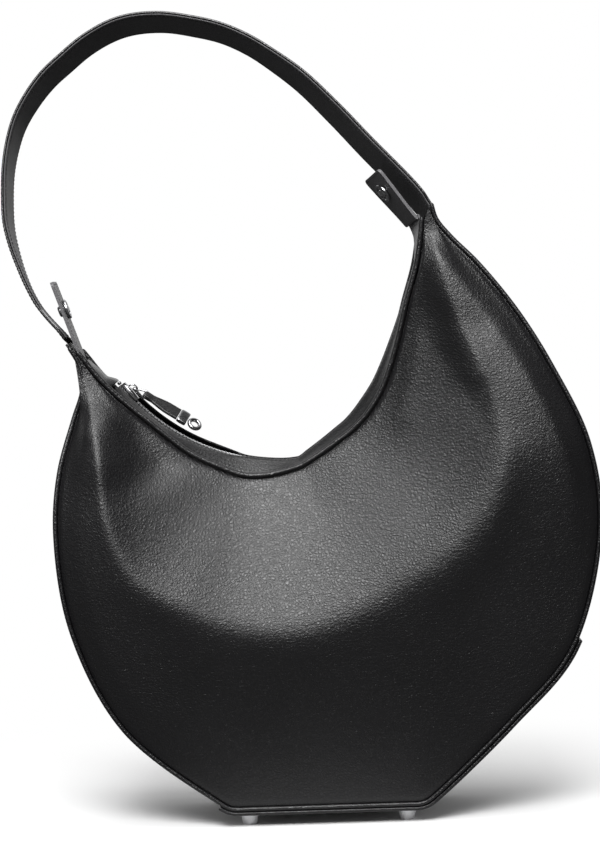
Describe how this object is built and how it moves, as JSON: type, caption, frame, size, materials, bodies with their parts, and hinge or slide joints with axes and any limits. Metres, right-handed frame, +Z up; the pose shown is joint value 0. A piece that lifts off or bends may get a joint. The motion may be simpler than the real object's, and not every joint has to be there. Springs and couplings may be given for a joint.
{
  "type": "shoulder handbag",
  "caption": "Crescent-shaped leather shoulder handbag with a closed zip along its curved mouth, a wide leather strap, metal studs on corner tabs and metal feet.",
  "frame": {"origin": "on the ground plane, under the middle of the whole bag with its strap standing up", "axes": "+X to the right in a view of the front, -Y out of the front, +Z up"},
  "size_m": [0.379, 0.1184, 0.5255],
  "materials": {
    "body_leather": "near-black grained leather, semi-gloss",
    "strap_leather": "near-black leather, semi-gloss",
    "strap_lining": "dark grey smooth leather, satin",
    "lining_cloth": "dark woven cloth, matt",
    "zip_tape": "black woven tape, matt",
    "polished_metal": "polished silver-coloured metal",
    "satin_metal": "satin silver-coloured metal",
    "board": "stiff fibre board, matt"
  },
  "bodies": {
    "bag_body": {"front_panel": "body_leather", "back_panel": "body_leather", "gusset": "body_leather", "base_overlay": "body_leather", "front_piping": "body_leather", "back_piping": "body_leather", "front_binding": "body_leather", "back_binding": "body_leather", "front_zip_facing": "body_leather", "back_zip_facing": "body_leather", "front_zip_tape": "zip_tape", "back_zip_tape": "zip_tape", "front_zip_teeth": "polished_metal", "back_zip_teeth": "polished_metal", "left_zip_end": "body_leather", "right_zip_end": "body_leather", "left_zip_stop": "polished_metal", "right_zip_stop": "polished_metal", "lining": "lining_cloth", "base_board": "board", "foot_front_left": "satin_metal", "foot_front_right": "satin_metal", "foot_back_left": "satin_metal", "foot_back_right": "satin_metal", "washer_front_left": "satin_metal", "washer_front_right": "satin_metal", "washer_back_left": "satin_metal", "washer_back_right": "satin_metal"},
    "strap": {"strap_outer": "strap_leather", "strap_lining": "strap_lining"},
    "zip_slider": {"zip_slider": "polished_metal"},
    "zip_pull": {"pull_link": "polished_metal", "pull_tongue": "strap_leather", "pull_end": "polished_metal", "pull_ring": "polished_metal"},
    "left_tab": {"left_tab": "strap_leather", "left_stud_cap": "polished_metal", "left_stud_post": "polished_metal"},
    "right_tab": {"right_tab": "strap_leather", "right_stud_cap": "polished_metal", "right_stud_post": "polished_metal"}
  },
  "joints": [
    {"name": "strap_swing", "type": "hinge", "parent": "bag_body", "child": "strap", "pos_m": [-0.15442, 0.00307, 0.3294], "axis": [0.9449, 0, 0.3273], "range_deg": [-45, 55]},
    {"name": "zip_slide", "type": "hinge", "parent": "bag_body", "child": "zip_slider", "pos_m": [-0.00907, 0, 0.36367], "axis": [0, -1, 0], "range_deg": [0, 35]},
    {"name": "zip_pull_flip", "type": "hinge", "parent": "zip_slider", "child": "zip_pull", "pos_m": [-0.10679, 0, 0.28111], "axis": [0, -1, 0], "range_deg": [0, 140]},
    {"name": "left_tab_flex", "type": "hinge", "parent": "bag_body", "child": "left_tab", "pos_m": [-0.1396, 0, 0.30134], "axis": [0, 1, 0], "range_deg": [0, 20], "stiffness_Nm_per_rad": 0.06, "springref_deg": -4.58},
    {"name": "right_tab_flex", "type": "hinge", "parent": "bag_body", "child": "right_tab", "pos_m": [0.07643, 0, 0.38304], "axis": [0.1893, -0.9703, 0.1506], "range_deg": [0, 15], "stiffness_Nm_per_rad": 0.06, "springref_deg": -4.58}
  ]
}
